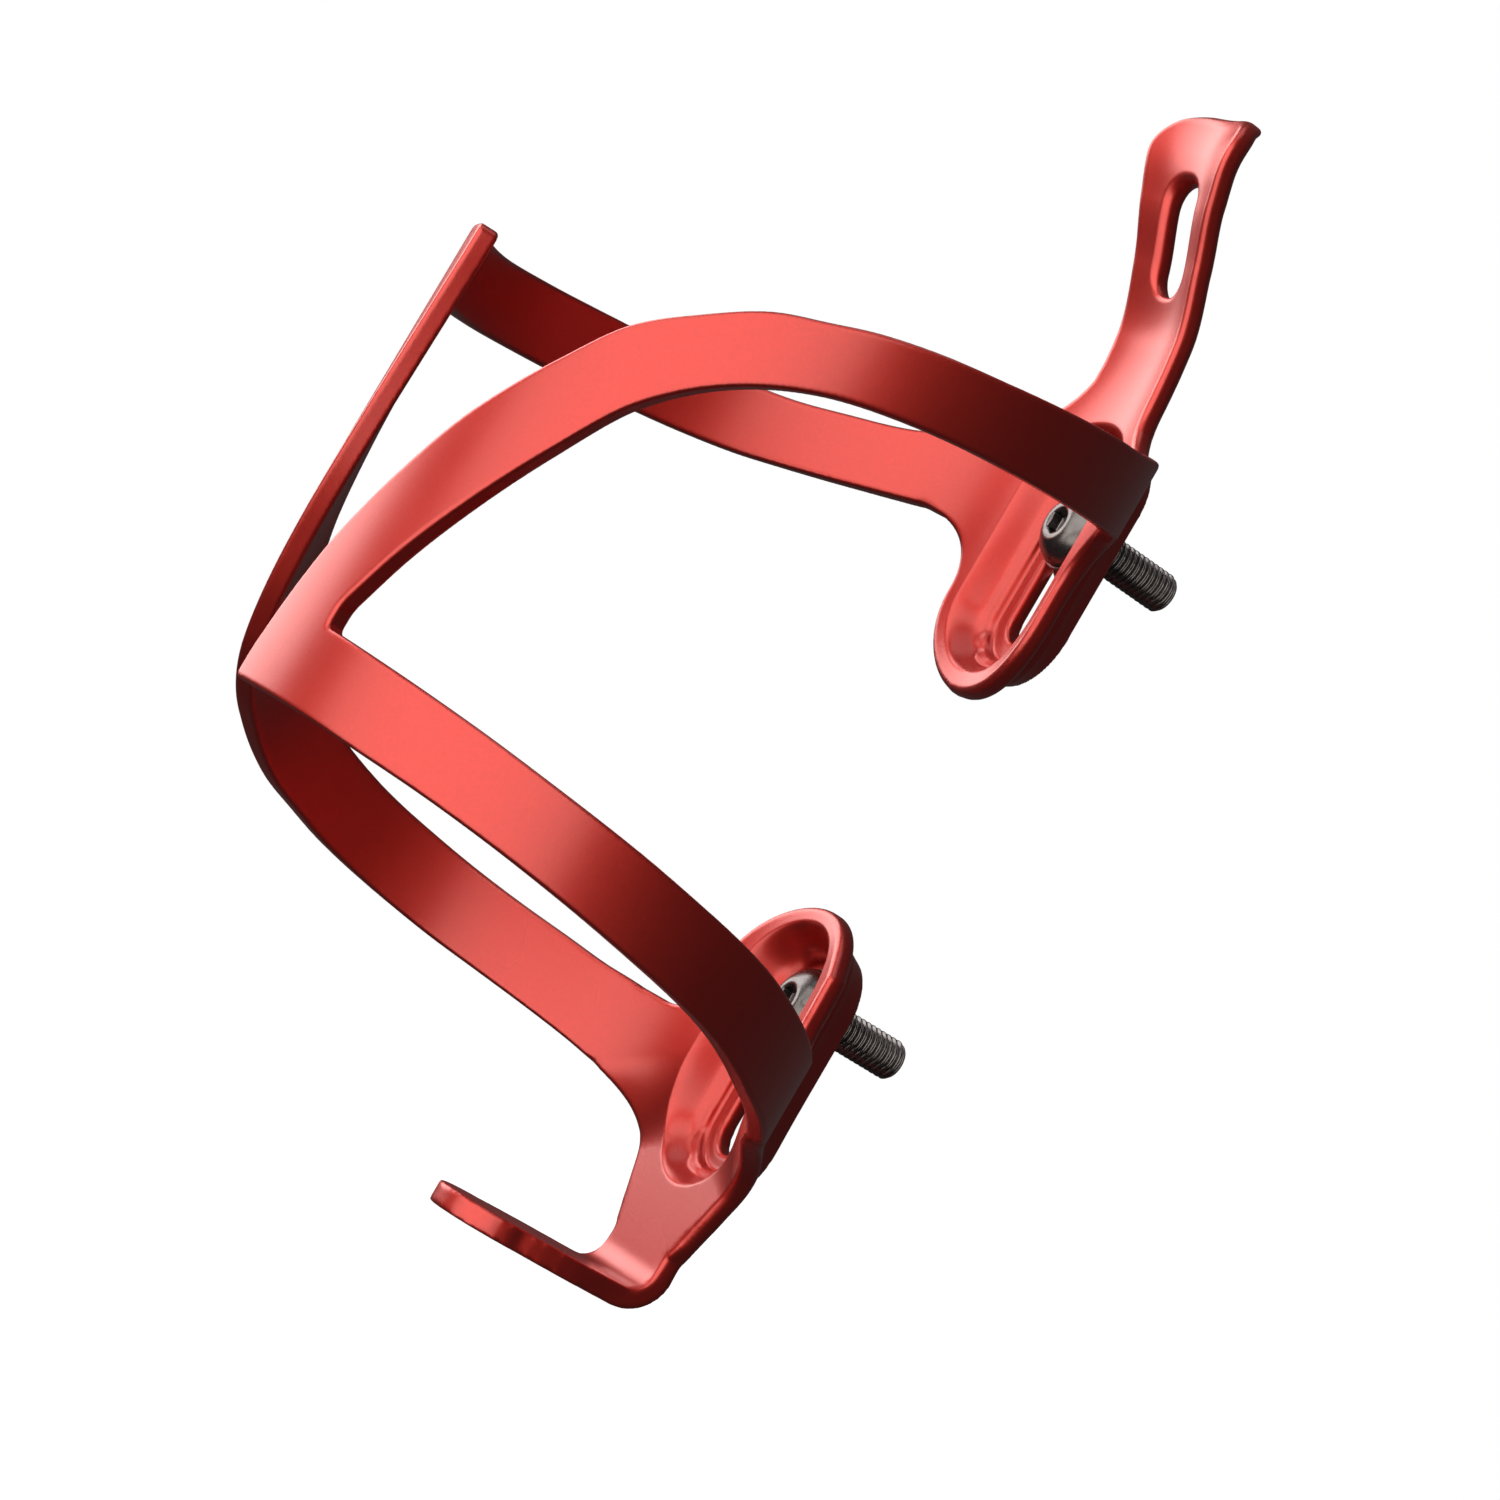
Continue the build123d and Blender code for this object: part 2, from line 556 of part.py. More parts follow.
def ring(z, y0, y1, outer_r):
    """Flat ring round a bolt, from Y = y0 to Y = y1."""
    with BuildPart() as body:
        with BuildSketch(Plane.XZ.offset(-y0)):
            with Locations((0, z)):
                Circle(outer_r)
                Circle(WASHER_HOLE_R, mode=Mode.SUBTRACT)
        extrude(amount=-(y1 - y0))
        rims = body.edges().filter_by(GeomType.CIRCLE).group_by(SortBy.RADIUS)[-1]
        fillet(rims, RING_FILLET)
    return body.part


# ---------------------------------------------------------------------- export
def export(part, name):
    """Lower a piece to the bolt-centred origin and write it."""
    placed = part.moved(Location((0, 0, -ORIGIN_Z)))
    placed.label = name
    export_step(placed, f"parts/{name}.step")


export(cage_body(), "cage_body")
for place, bolt_z, floor_y in (("upper", BOLT_Z_UP, UP_FLOOR_Y),
                               ("lower", BOLT_Z_LOW, LO_FLOOR_Y)):
    washer_y = floor_y - WASHER_T
    export(bolt(bolt_z, washer_y), place + "_bolt")
    export(ring(bolt_z, washer_y, floor_y, WASHER_R), place + "_washer")
export(ring(BOLT_Z_UP, UP_BACK_Y, 0.0, SPACER_R), "upper_spacer")
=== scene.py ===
# A red anodised bottle cage: one formed aluminium sheet with two bolts, two washers and
# a spacer. The bottle stands along Z at negative Y, the pads that bolt on lie near
# Y = 0, and the two wings reach round the bottle. The "near" wing is at +X, the camera's
# side, and the "far" wing at -X. The scene is in metres; lengths of the cage and the
# fasteners are in mm. In the cage code Z is measured up from the underside of the foot.
import bmesh
import bpy
import math
import numpy as np
from mathutils import Matrix, Vector
from mathutils.kdtree import KDTree


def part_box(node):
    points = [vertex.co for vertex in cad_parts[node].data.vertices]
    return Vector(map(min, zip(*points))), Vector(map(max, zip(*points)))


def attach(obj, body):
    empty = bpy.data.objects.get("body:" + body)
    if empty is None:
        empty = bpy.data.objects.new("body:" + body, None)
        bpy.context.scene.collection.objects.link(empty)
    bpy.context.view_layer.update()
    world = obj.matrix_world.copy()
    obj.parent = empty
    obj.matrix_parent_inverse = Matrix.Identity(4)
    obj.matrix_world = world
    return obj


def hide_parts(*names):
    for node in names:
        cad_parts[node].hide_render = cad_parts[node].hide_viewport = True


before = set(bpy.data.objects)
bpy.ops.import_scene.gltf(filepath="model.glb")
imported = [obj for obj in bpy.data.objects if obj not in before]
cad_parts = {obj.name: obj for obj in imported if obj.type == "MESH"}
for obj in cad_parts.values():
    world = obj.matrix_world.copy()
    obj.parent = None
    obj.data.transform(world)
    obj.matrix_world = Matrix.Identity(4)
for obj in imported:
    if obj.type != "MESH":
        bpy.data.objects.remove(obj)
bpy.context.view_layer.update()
scene = bpy.context.scene

# ------------------------------------------------------------- cage dimensions
ORIGIN_Z = 72.4                    # scene origin above the underside of the foot
MID_Z = 67.6                       # height the wing tables are measured from
AXIS_Y = -44.1                     # centre of the elliptical bottle space
SEMI_X, SEMI_Y = 36.6, 37.7        # its half widths
FIRST_RADIUS = 37.2                # round start for finding the offset from the ellipse
SHEET = 2.6
WING_ROOT = 32.0                   # degrees round from +Y where the wings begin
EDGE_R, PAD_EDGE_R = 0.46, 0.95    # rounding of the wing edges and of the pad edges

# Wing edges: (degrees round from the back, mm above or below MID_Z). The sweep crosses
# MID_Z on its way round: it starts above on the near wing, below on the far wing.
# The rail stays on the other side. Both wings share the inner edge of the rail.
NEAR_SWEEP_OUTER = [
    (25, 46.2), (39, 44.2), (50, 43.0), (60, 42.1), (70, 41.0), (80, 39.8), (87, 38.9),
    (98, 37.5), (108, 35.8), (116, 33.9), (123.5, 32.1), (133.5, 28.0), (142.5, 23.6),
    (150, 17.5), (157, 11.4), (162, 6.6), (167, 0.6), (171.5, -5.3), (175.5, -11.5),
    (178.5, -19.0), (180.5, -26.8)]
NEAR_SWEEP_INNER = [
    (25, 36.0), (34, 35.0), (44, 34.2), (55, 33.3), (66, 32.4), (77, 31.5), (87, 30.6),
    (98, 29.3), (108, 27.7), (116, 25.7), (125, 22.3), (135, 16.4), (143.6, 7.8),
    (152, -1.4), (158.5, -9.2), (162.5, -15.0)]
FAR_SWEEP_OUTER = [
    (25, 46.0), (31, 45.3), (39, 44.4), (50, 43.5), (60, 42.8), (70, 42.1), (80, 41.1),
    (90, 39.9), (97.5, 38.8), (106, 37.2), (113, 35.9), (120, 34.0), (127, 31.7),
    (134, 29.2), (142, 25.0), (149, 18.6), (155, 11.0), (160, 3.0), (163.5, -5.0),
    (166, -13.0), (168, -21.0), (169.5, -28.0)]
FAR_SWEEP_INNER = [
    (25, 34.9), (34, 34.3), (40, 34.2), (50, 33.6), (60, 33.0), (70, 32.2), (79.5, 31.2),
    (90, 29.9), (100.8, 28.0), (110, 25.9), (118, 23.2), (126, 19.2), (135, 13.6),
    (143.7, 6.4), (150, -2.0), (155, -9.5), (158, -15.0)]
RAIL_INNER = [
    (25, 33.0), (34, 32.2), (43, 31.0), (52, 29.6), (60, 28.3), (68, 27.0), (78.5, 25.7),
    (88, 24.7), (99.5, 23.5), (115.7, 22.1), (131, 20.9), (148, 19.9), (164, 19.2),
    (180, 18.8)]
NEAR_RAIL_OUTER = [
    (25, 44.3), (35, 42.9), (45, 41.2), (55, 39.5), (63, 37.8), (70, 36.4), (77, 35.3),
    (93.4, 33.4), (106.5, 32.0), (122, 30.6), (134, 29.8), (145, 29.3), (159, 28.7),
    (170, 28.5), (181, 28.4)]
FAR_RAIL_OUTER = [
    (25, 44.8), (33, 42.2), (42, 39.9), (53, 38.0), (64, 36.1), (77, 34.6), (90, 33.4),
    (98, 32.8), (105.7, 32.1), (118.7, 30.9), (138, 29.4), (152, 28.9), (170, 28.6)]
# Side of X: rim (top, bottom, end angle, corner reach), window (the same).
WINGS = {
    1: ((NEAR_SWEEP_OUTER, NEAR_RAIL_OUTER, 180.0, 0.9),
        (NEAR_SWEEP_INNER, RAIL_INNER, 163.5, 0.9)),
    -1: ((FAR_RAIL_OUTER, FAR_SWEEP_OUTER, 169.0, 1.6),
         (RAIL_INNER, FAR_SWEEP_INNER, 158.5, 0.9))}

# Lean of the tab above the upper pad: (Z, shift along Y; negative is toward the bottle).
TAB_LEAN = [(104, 0.0), (112, 0.0), (119, -0.25), (128, -1.2), (136.5, -4.2), (143.5, -7.2),
            (149.5, -8.7), (153.0, -8.3), (155.2, -7.2), (160.0, -3.5)]
TAB_CROWN = 0.67                           # extra Y of the tab along its centre line
RISER_Y = -5.6                             # front face below the lower pad
# Round-ended dishes in the pads: Z span of the centre line, Y of the floor, and the
# distances from the centre line where the floor ends and the pad face begins.
UPPER_SPINE, LOWER_SPINE = (92.3, 108.6), (24.2, 40.8)
UPPER_DISH_Y, LOWER_DISH_Y = -3.7, -2.9
DISH_IN, DISH_OUT = 6.2, 9.0
UPPER_BACK_Y, LOWER_BACK_Y = -0.8, 0.0     # furthest the back faces reach along Y
FOOT_HALF_WIDTH = 7.2
FOOT_SPAN = (3.0, 7.6)                     # Z span of the strip with straight sides
OUTLINE_STEP = 0.06


# ------------------------------------------------------------------ mesh tools
def new_object(name, points, faces, smooth=True):
    mesh = bpy.data.meshes.new(name)
    mesh.from_pydata([tuple(p) for p in points], [], [tuple(f) for f in faces])
    mesh.validate()
    mesh.update()
    piece = bpy.data.objects.new(name, mesh)
    scene.collection.objects.link(piece)
    if smooth:
        shade_smooth(mesh)
    return piece


def shade_smooth(mesh):
    mesh.polygons.foreach_set("use_smooth", [True] * len(mesh.polygons))


def read_array(items, key, width, kind=np.float64):
    values = np.zeros(len(items) * width, dtype=kind)
    items.foreach_get(key, values)
    return values.reshape(-1, width)


def set_points(mesh, points):
    mesh.vertices.foreach_set("co", np.ascontiguousarray(points, dtype=np.float64).ravel())
    mesh.update()


class Smoother:
    """Neighbour averaging over a mesh, with an optional weight per point."""

    def __init__(self, mesh):
        ends = read_array(mesh.edges, "vertices", 2, np.int64)
        self.here = np.concatenate([ends[:, 0], ends[:, 1]])
        self.there = np.concatenate([ends[:, 1], ends[:, 0]])
        self.size = len(mesh.vertices)
        self.degree = np.maximum(np.bincount(self.here, minlength=self.size), 1).astype(float)

    def mean(self, values):
        if values.ndim == 1:
            total = np.bincount(self.here, weights=values[self.there], minlength=self.size)
            return total / self.degree
        return np.stack([self.mean(column) for column in values.T], 1)

    def run(self, points, times, weight=None):
        for _ in range(times):
            step = 0.5 * (self.mean(points) - points)
            points = points + (step if weight is None else step * weight[:, None])
        return points


def smoothstep(t):
    t = np.clip(t, 0.0, 1.0)
    return t * t * (3 - 2 * t)


def table_curve(table, where):
    """Monotone cubic through a two-column table, straight beyond its ends."""
    xs, ys = np.array(table, dtype=float).T
    gap = np.diff(xs)
    rise = np.diff(ys) / gap
    slope = np.zeros(len(xs))
    slope[0], slope[-1] = rise[0], rise[-1]
    same = rise[:-1] * rise[1:] > 0
    slope[1:-1][same] = (2 * rise[:-1] * rise[1:])[same] / (rise[:-1] + rise[1:])[same]
    where = np.asarray(where, dtype=float)
    i = np.clip(np.searchsorted(xs, where, side="right") - 1, 0, len(xs) - 2)
    t = np.clip((where - xs[i]) / gap[i], 0, 1)
    value = ((2 * t**3 - 3 * t**2 + 1) * ys[i] + (t**3 - 2 * t**2 + t) * gap[i] * slope[i]
             + (-2 * t**3 + 3 * t**2) * ys[i + 1] + (t**3 - t**2) * gap[i] * slope[i + 1])
    before = np.where(where < xs[0], slope[0] * (where - xs[0]), 0)
    after = np.where(where > xs[-1], slope[-1] * (where - xs[-1]), 0)
    return value + before + after


def unit_rows(rows, tiny=1e-12):
    return rows / (np.hypot(rows[:, 0], rows[:, 1])[:, None] + tiny)


def with_tree(points, inward):
    """An outline: its 2-D points, directions into the metal, and a search tree."""
    tree = KDTree(len(points))
    for i, (across, up) in enumerate(points):
        tree.insert((across, up, 0.0), i)
    tree.balance()
    return points, inward, tree


def onto_round(across, depth, across_core, depth_core, radius):
    """Move section points onto the rounded outline about a core.

    Returns the new pair and how far each point sits on the rounding, 0 to 1."""
    out_across, out_depth = across - across_core, depth - depth_core
    length = np.maximum(np.hypot(out_across, out_depth), 1e-6)
    broken = np.clip(2.0 * np.abs(out_across * out_depth) / length ** 2, 0, 1)
    return (across_core + out_across / length * radius,
            depth_core + out_depth / length * radius, broken)


# ----------------------------------------------------------------------- wings
# Length along the middle of the sheet at each angle round the ellipse.
ARC_STEP = 0.025
ARC_ANGLE = np.linspace(0, 200, 8001)
ARC_MIDDLE = np.radians(ARC_ANGLE[1:] - ARC_STEP / 2)
ARC_LENGTH = np.concatenate([[0], np.cumsum(np.radians(ARC_STEP) * np.hypot(
    (SEMI_X + SHEET / 2) * np.cos(ARC_MIDDLE), (SEMI_Y + SHEET / 2) * np.sin(ARC_MIDDLE)))])


def to_wall(x, y):
    """Offset outside the bottle space (mm) and angle round it from the back (degrees)."""
    y = y - AXIS_Y
    offset = np.sqrt(x * x + y ** 2) - FIRST_RADIUS
    for _ in range(14):
        wide, deep = SEMI_X + offset, SEMI_Y + offset
        error = (x / wide) ** 2 + (y / deep) ** 2 - 1
        slope = -2 * x * x / wide ** 3 - 2 * y ** 2 / deep ** 3
        offset = np.clip(offset - error / slope, -20, 30)
    return offset, np.degrees(np.arctan2(np.abs(x) / (SEMI_X + offset), y / (SEMI_Y + offset)))


def rounded_path(points, corners, reach):
    """Dense copy of a polyline with each corner replaced by a smooth turn."""
    length = np.concatenate([[0], np.cumsum(np.hypot(*np.diff(points, axis=0).T))])
    grid = np.arange(0, length[-1], 0.04)
    path = np.stack([np.interp(grid, length, points[:, k]) for k in (0, 1)], 1)
    for corner in corners:
        middle = length[corner]
        start, end = (np.array([np.interp(at, length, points[:, k]) for k in (0, 1)])
                      for at in (middle - reach, middle + reach))
        near = np.abs(grid - middle) < reach
        t = ((grid[near] - middle + reach) / (2 * reach))[:, None]
        path[near] = (1 - t) ** 2 * start + 2 * t * (1 - t) * points[corner] + t ** 2 * end
    return path


def wing_loop(top, bottom, end, reach, turn):
    """Out along the top edge and back along the bottom, with directions into the metal."""
    angles = np.arange(26, end, 0.1)
    angles = np.append(angles[angles < end - 0.05], end)
    along = np.interp(angles, ARC_ANGLE, ARC_LENGTH)
    path = np.concatenate([np.stack([along, table_curve(top, angles)], 1),
                           np.stack([along, -table_curve(bottom, angles)], 1)[::-1]])
    last = len(angles) - 1
    height = path[last, 1] - path[last + 1, 1]
    path = rounded_path(path, (last, last + 1), min(0.49 * height, reach))
    heading = unit_rows(np.gradient(path, axis=0))
    return path, turn * np.stack([heading[:, 1], -heading[:, 0]], 1)


def wing_outline(side):
    rim, window = WINGS[side]
    loops = wing_loop(*rim, turn=1), wing_loop(*window, turn=-1)
    return with_tree(*(np.concatenate(parts) for parts in zip(*loops)))


def true_wing(points, side, outline):
    """Places of one wing's points on its two walls and rounded edges."""
    offset, angle = to_wall(points[:, 0], points[:, 1])
    angle = np.where(points[:, 0] * side < 0, 360.0 - angle, angle)
    along = np.interp(angle, ARC_ANGLE, ARC_LENGTH)
    up = points[:, 2] - MID_Z
    edge_points, inward, tree = outline
    index = np.array([tree.find((u, v, 0.0))[1] for u, v in zip(along, up)], dtype=np.int64)
    edge, inward = edge_points[index], inward[index]
    depth = (along - edge[:, 0]) * inward[:, 0] + (up - edge[:, 1]) * inward[:, 1]
    inset = 0.05 * smoothstep((angle - WING_ROOT) / 25.0)
    core = np.clip(offset, inset + EDGE_R, SHEET - inset - EDGE_R)
    offset, new_depth, broken = onto_round(offset, depth, core, np.maximum(depth, EDGE_R),
                                           EDGE_R)
    along = along + (new_depth - depth) * inward[:, 0]
    up = up + (new_depth - depth) * inward[:, 1]
    turn = np.radians(np.interp(along, ARC_LENGTH, ARC_ANGLE))
    placed = np.stack([side * (SEMI_X + offset) * np.sin(turn),
                       AXIS_Y + (SEMI_Y + offset) * np.cos(turn), up + MID_Z], 1)
    return placed, smoothstep((angle - 31.0) / 1.8), broken


# ------------------------------------------------------------------------ pads
def dish_gap(x, z):
    """Distance from the centre line of the dish in the same pad, seen along Y."""
    middle = np.where(z > MID_Z, np.clip(z, *UPPER_SPINE), np.clip(z, *LOWER_SPINE))
    return np.hypot(x, z - middle)


def dish_amount(x, z):
    return smoothstep((DISH_OUT - dish_gap(x, z)) / (DISH_OUT - DISH_IN))


def front_face(x, z):
    """Y of the face on the bottle's side."""
    wall = AXIS_Y + SEMI_Y * np.sqrt(np.clip(1 - (x / SEMI_X) ** 2, 0, 1))
    is_upper = z > MID_Z
    lean = np.where(z > 104, table_curve(TAB_LEAN, z), 0.0)
    crown = TAB_CROWN * (1 - np.minimum(1.6, (x / 8.0) ** 2))
    upper = wall + lean + crown * smoothstep((z - 112.0) / 14.0)
    riser = smoothstep((31.0 - 0.0225 * x * x - z) / 12.0)
    lower = wall * (1 - riser) + RISER_Y * riser
    face = np.where(is_upper, upper, lower)
    return face + (np.where(is_upper, UPPER_DISH_Y, LOWER_DISH_Y) - face) * dish_amount(x, z)


def slopes(face, x, z):
    step = 0.25
    return ((face(x + step, z) - face(x - step, z)) / (2 * step),
            (face(x, z + step) - face(x, z - step)) / (2 * step))


def back_face(x, z):
    """Y of the face away from the bottle, a little thicker under the dishes."""
    slope_x, slope_z = slopes(front_face, x, z)
    slant = np.minimum(1.5, np.sqrt(1 + slope_x * slope_x + slope_z * slope_z))
    back = front_face(x, z) + SHEET * slant + 0.5 * dish_amount(x, z)
    return np.minimum(back, np.where(z > MID_Z, UPPER_BACK_Y, LOWER_BACK_Y))


def face_depth(points, face, inward):
    """Depth behind a face and the unit direction in; inward is its sign along Y."""
    x, y, z = points.T
    slope_x, slope_z = slopes(face, x, z)
    normal = inward * np.stack([-slope_x, np.ones_like(slope_x), -slope_z], 1)
    length = np.linalg.norm(normal, axis=1)
    return inward * (y - face(x, z)) / length, normal / length[:, None]


def outline_depth(points, outline):
    """Depth of 2-D points behind an outline and the mean direction into the metal."""
    edge_points, inward, tree = outline
    index = np.array([[hit[1] for hit in tree.find_n((u, v, 0.0), 5)] for u, v in points],
                     dtype=np.int64)
    edge, inward = edge_points[index], inward[index]
    depth = ((points[:, None] - edge) * inward).sum(2).mean(1)
    return depth, unit_rows(inward.mean(1), 1e-9)


def pad_outline(cad, tris, normals):
    """Outline (x, z) of the pads and tab from the faces that run along Y."""
    middle = cad[tris].mean(1)
    keep = ((np.abs(normals[:, 1]) < 0.004) & (middle[:, 2] > FOOT_SPAN[1])
            & (to_wall(middle[:, 0], middle[:, 1])[1] < 32.6))
    tris, flats = tris[keep], normals[keep][:, [0, 2]]
    area = np.linalg.norm(np.cross(cad[tris[:, 1]] - cad[tris[:, 0]],
                                   cad[tris[:, 2]] - cad[tris[:, 0]]), axis=1)
    soft = np.zeros((len(cad), 2))
    for k in range(3):
        np.add.at(soft, tris[:, k], flats * area[:, None])
    soft = unit_rows(soft)
    points, outward = [], []
    for k in range(3):
        for i, j, flat in zip(tris[:, k], tris[:, (k + 1) % 3], flats):
            start, end = cad[i, [0, 2]], cad[j, [0, 2]]
            length = np.hypot(*(end - start))
            if length < 0.01:
                continue
            count = max(1, int(length / OUTLINE_STEP))
            t = (np.arange(count) / count)[:, None]
            # across a sharp corner the flat normal is used
            first, last = (flat if soft[v] @ flat < 0.86 else soft[v] for v in (i, j))
            points.append(start * (1 - t) + end * t)
            outward.append(first * (1 - t) + last * t)
    # sides of the strip that runs down to the foot
    heights = np.arange(*FOOT_SPAN, OUTLINE_STEP)
    for side in (1, -1):
        points.append(np.stack([np.full(len(heights), side * FOOT_HALF_WIDTH), heights], 1))
        outward.append(np.tile([float(side), 0.0], (len(heights), 1)))
    return with_tree(np.concatenate(points), -unit_rows(np.concatenate(outward)))


def true_pads(points, outline):
    """Places of the pads' points on their two faces and rounded edges."""
    x, y, z = points.T
    front_depth, front_in = face_depth(points, front_face, 1)
    back_depth, back_in = face_depth(points, back_face, -1)
    front = front_depth < back_depth
    face_in = np.where(front[:, None], front_in, back_in)
    depth = np.where(front, front_depth, back_depth)
    side_depth, side_in = outline_depth(points[:, [0, 2]], outline)
    side_in = np.stack([side_in[:, 0], np.zeros(len(side_in)), side_in[:, 1]], 1)
    radius = PAD_EDGE_R + (EDGE_R - PAD_EDGE_R) * smoothstep((np.abs(x) - 11.0) / 8.0)
    new_depth, new_side, broken = onto_round(
        depth, side_depth, np.maximum(depth, radius), np.maximum(side_depth, radius), radius)
    # the two directions are not square to each other, so solve for both moves
    move, side_move = new_depth - depth, new_side - side_depth
    dot = (face_in * side_in).sum(1)
    scale = 1 - dot * dot
    placed = (points + ((move - dot * side_move) / scale)[:, None] * face_in
              + ((side_move - dot * move) / scale)[:, None] * side_in)
    # leave alone the dish floors, the foot, the wing roots and points that would go far
    foot_edge = smoothstep((11.5 - z) / 3.5) * np.clip(broken * 3, 0, 1)
    distance = np.linalg.norm(placed - points, axis=1)
    weight = (smoothstep((dish_gap(x, z) - 6.6) / 0.9) * smoothstep((z - 5.8) / 1.4)
              * (1 - 0.9 * foot_edge)
              * (1 - smoothstep((to_wall(x, y)[1] - 30.4) / 1.8))
              * (1 - smoothstep((distance - 0.9) / 0.5)))
    return placed, weight, broken


# ------------------------------------------------------------------ cage shell
def read_cad(shell):
    """Bring the shell's mesh to mm above the foot, as triangles; find the pads' outline."""
    mesh = shell.data
    points = read_array(mesh.vertices, "co", 3) * 1000.0
    points[:, 2] += ORIGIN_Z
    set_points(mesh, points)
    mesh.materials.clear()
    work = bmesh.new()
    work.from_mesh(mesh)
    bmesh.ops.remove_doubles(work, verts=work.verts, dist=0.002)
    bmesh.ops.triangulate(work, faces=work.faces)
    work.to_mesh(mesh)
    work.free()
    cad = read_array(mesh.vertices, "co", 3)
    tris = read_array(mesh.polygons, "vertices", 3, np.int64)
    normals = np.cross(cad[tris[:, 1]] - cad[tris[:, 0]], cad[tris[:, 2]] - cad[tris[:, 0]])
    normals /= np.linalg.norm(normals, axis=1)[:, None] + 1e-12
    return pad_outline(cad, tris, normals)


def remesh(shell):
    """Replace the shell's mesh by an even grid of small faces."""
    coarse = shell.data
    grid = shell.modifiers.new("grid", "REMESH")
    grid.mode = "VOXEL"
    grid.voxel_size = 0.28
    grid.adaptivity = 0.0
    grid.use_smooth_shade = True
    bpy.context.view_layer.update()
    graph = bpy.context.evaluated_depsgraph_get()
    fine = bpy.data.meshes.new_from_object(shell.evaluated_get(graph))
    shell.modifiers.clear()
    shell.data = fine
    bpy.data.meshes.remove(coarse)
    fine.name = "cage_shell"
    return fine


def true_shell(points, edge, smoother, pad_edges):
    """Settle the points on the true walls in three turns, smoothing in between."""
    outlines = {side: wing_outline(side) for side in (1, -1)}
    for turn in range(3):
        if turn:
            points = smoother.run(points, 2, trued)
        angle = to_wall(points[:, 0], points[:, 1])[1]
        # the near wing alone reaches the front, and a little past it
        owner = np.where((points[:, 0] > 0) | (angle > 174.5), 1, -1)
        placed = points.copy()
        trued = np.zeros(len(points))
        for side in (0, 1, -1):    # pads, near wing, far wing
            if side:
                part = (angle > 31.0) & (owner == side)
                target, weight, broken = true_wing(points[part], side, outlines[side])
            else:
                part = angle < 32.3
                target, weight, broken = true_pads(points[part], pad_edges)
            placed[part] += (target - placed[part]) * weight[:, None]
            edge[part] += (broken - edge[part]) * weight
            trued[part] = np.maximum(trued[part], weight)
        points = placed
    return points


def build_cage():
    """The formed aluminium body with its edges broken and its walls trued."""
    shell = bpy.data.objects.new("cage_shell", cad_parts["cage_body"].data.copy())
    scene.collection.objects.link(shell)
    pad_edges = read_cad(shell)
    mesh = remesh(shell)
    smoother = Smoother(mesh)
    rest = read_array(mesh.vertices, "co", 3)
    # an even surface that keeps its outline: smooth, then give back what was lost
    times = 9
    points = smoother.run(rest, times)
    points = points + smoother.run(rest - points, times)
    moved = np.linalg.norm(points - rest, axis=1)
    edge = smoother.mean(smoother.mean(np.clip(moved / 0.12, 0, 1)))
    points = true_shell(points, edge, smoother, pad_edges)
    # the two kinds of wall meet evenly at the wing roots
    angle = to_wall(points[:, 0], points[:, 1])[1]
    root = np.exp(-((angle - 31.8) / 1.9) ** 2)
    points = smoother.run(points, 9, root)
    z = points[:, 2]
    foot = smoothstep((14.0 - z) / 3.0) * smoothstep((z - 4.0) / 2.0)
    points = smoother.run(points, 10, foot)
    points[:, 2] -= ORIGIN_Z
    set_points(mesh, points / 1000.0)
    shade_smooth(mesh)
    # how much each point sits on a broken edge, where the finish paints wear and an edge
    # highlight
    layer = mesh.attributes.new("edge_break", "FLOAT", "POINT")
    layer.data.foreach_set("value", smoother.mean(edge).astype(np.float32))
    mesh.update()
    return shell


# ------------------------------------------------------------------ fasteners
# Button head socket bolt, M5. The head faces the bottle and the shank runs along +Y.
HEAD_HEIGHT = 2.75
RIM_HEIGHT = 0.5
SOCKET_HALF = 3.0 / 2              # half the width across the flats
SOCKET_DEPTH = 1.5
SHANK_R = 2.5
NECK_R = 2.4
THREAD_START_Y = 0.15
THREAD_PITCH = 0.8
THREAD_CUT = 0.42
THREAD_RUN_IN = 0.8                # length over which the groove deepens
THREAD_LEAD = 0.55                 # length of the taper at the end
BOLT_SEGMENTS = 120
RING_SEGMENTS = 96
RING_HOLE_R = 2.66
HOLE_BREAK = 0.06                  # rounding of the hole's edges


def box_mm(node):
    lo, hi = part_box(node)
    return lo * 1000, hi * 1000


def circle(segments):
    return np.linspace(0, 2 * math.pi, segments, endpoint=False)


def turned_body(name, rings, segments, centre_z, cap_ys=None):
    """Closed body from (radius, y) rings about a line along Y.

    A radius may be one number or one per segment. With cap_ys the first and last rings
    close on centre points at those y; without, the last ring joins the first."""
    theta = circle(segments)
    points, faces = [], []
    for radius, y in rings:
        radius = np.broadcast_to(radius, segments)
        points += zip(radius * np.cos(theta), np.full(segments, y), radius * np.sin(theta))
    count = len(rings)
    for i in range(count - 1 if cap_ys else count):
        here, there = i * segments, (i + 1) % count * segments
        for k in range(segments):
            k2 = (k + 1) % segments
            faces.append((here + k, here + k2, there + k2, there + k))
    if cap_ys:
        centre, last = len(points), len(points) - segments
        points += [(0, y, 0) for y in cap_ys]
        faces += [(centre, (k + 1) % segments, k) for k in range(segments)]
        faces += [(centre + 1, last + k, last + (k + 1) % segments) for k in range(segments)]
    points = np.array(points)
    points[:, 2] += centre_z
    piece = new_object(name, points / 1000.0, faces)
    work = bmesh.new()
    work.from_mesh(piece.data)
    bmesh.ops.recalc_face_normals(work, faces=work.faces)
    work.to_mesh(piece.data)
    work.free()
    return piece


